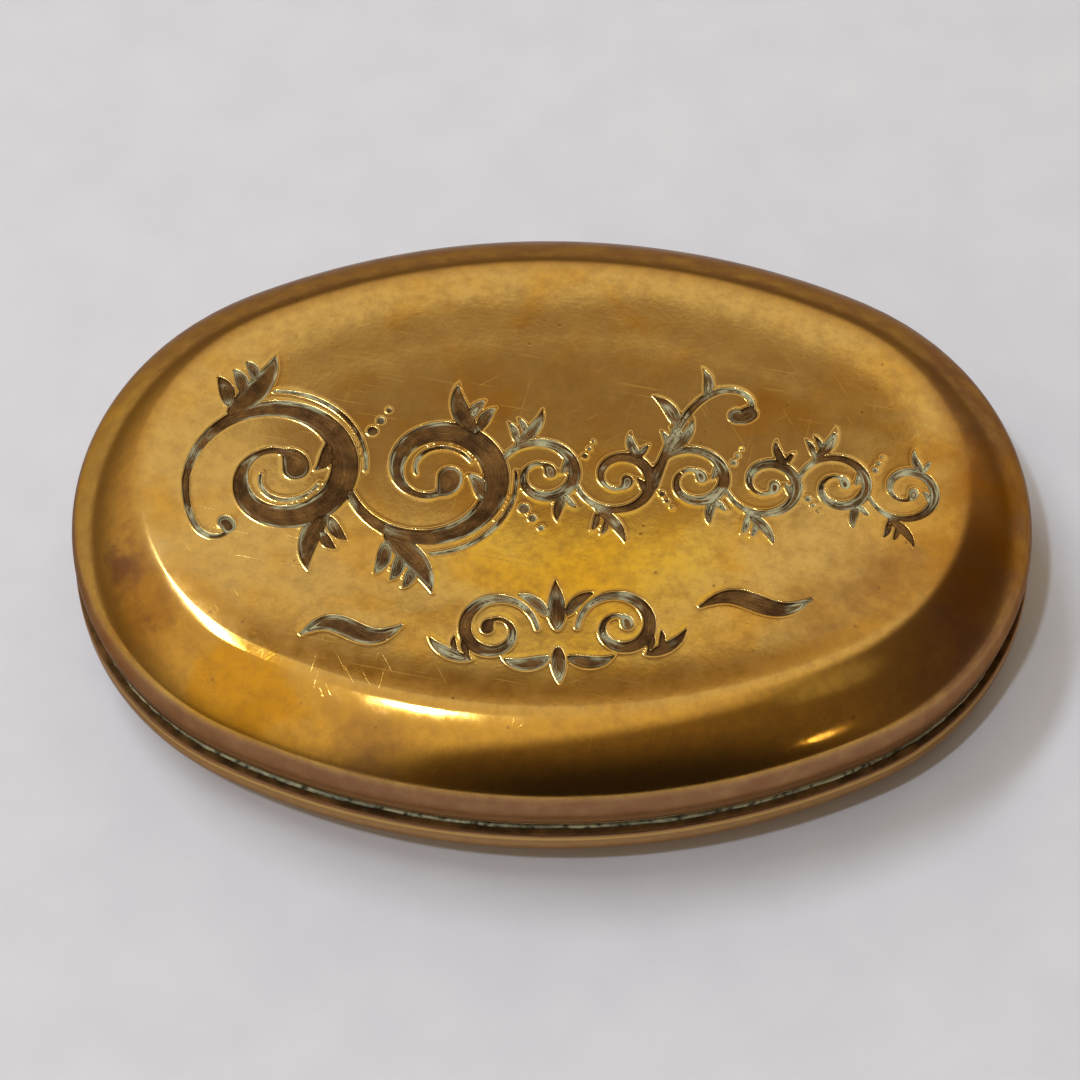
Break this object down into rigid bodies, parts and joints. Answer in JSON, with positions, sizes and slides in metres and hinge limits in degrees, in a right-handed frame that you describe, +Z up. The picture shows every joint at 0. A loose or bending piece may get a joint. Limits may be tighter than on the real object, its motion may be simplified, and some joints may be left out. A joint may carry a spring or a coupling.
{
  "type": "tobacco box",
  "caption": "Oval pocket box of sheet brass for tobacco, with a cushion-shaped lid hinged at the back that closes over an inner collar.",
  "frame": {"origin": "centre of the flat face the box rests on, under the middle of the plan oval", "axes": "+X along the length of the box, +Y towards the hinge at the back, +Z up"},
  "size_m": [0.086, 0.0605, 0.0188],
  "materials": {
    "polished_brass": "hand polished, warm brown tarnish on the shoulder, fine scratches",
    "collar_brass": "satin, dull inside",
    "hinge_brass": "satin, brown tarnish",
    "joint_solder": "dull grey-green, rough",
    "pin_wire": "dull drawn wire"
  },
  "bodies": {
    "case": {"case_shell": "polished_brass", "inner_collar": "collar_brass", "collar_solder": "joint_solder", "case_hinge_bearer": "hinge_brass", "case_knuckle_1": "hinge_brass", "case_knuckle_3": "hinge_brass", "case_knuckle_5": "hinge_brass", "hinge_pin": "pin_wire"},
    "lid": {"lid_shell": "polished_brass", "lid_hinge_bearer": "hinge_brass", "lid_knuckle_2": "hinge_brass", "lid_knuckle_4": "hinge_brass"}
  },
  "joints": [
    {"name": "lid_hinge", "type": "hinge", "parent": "case", "child": "lid", "pos_m": [0, 0.0292, 0.0086], "axis": [-1, 0, 0], "range_deg": [0, 105]}
  ]
}
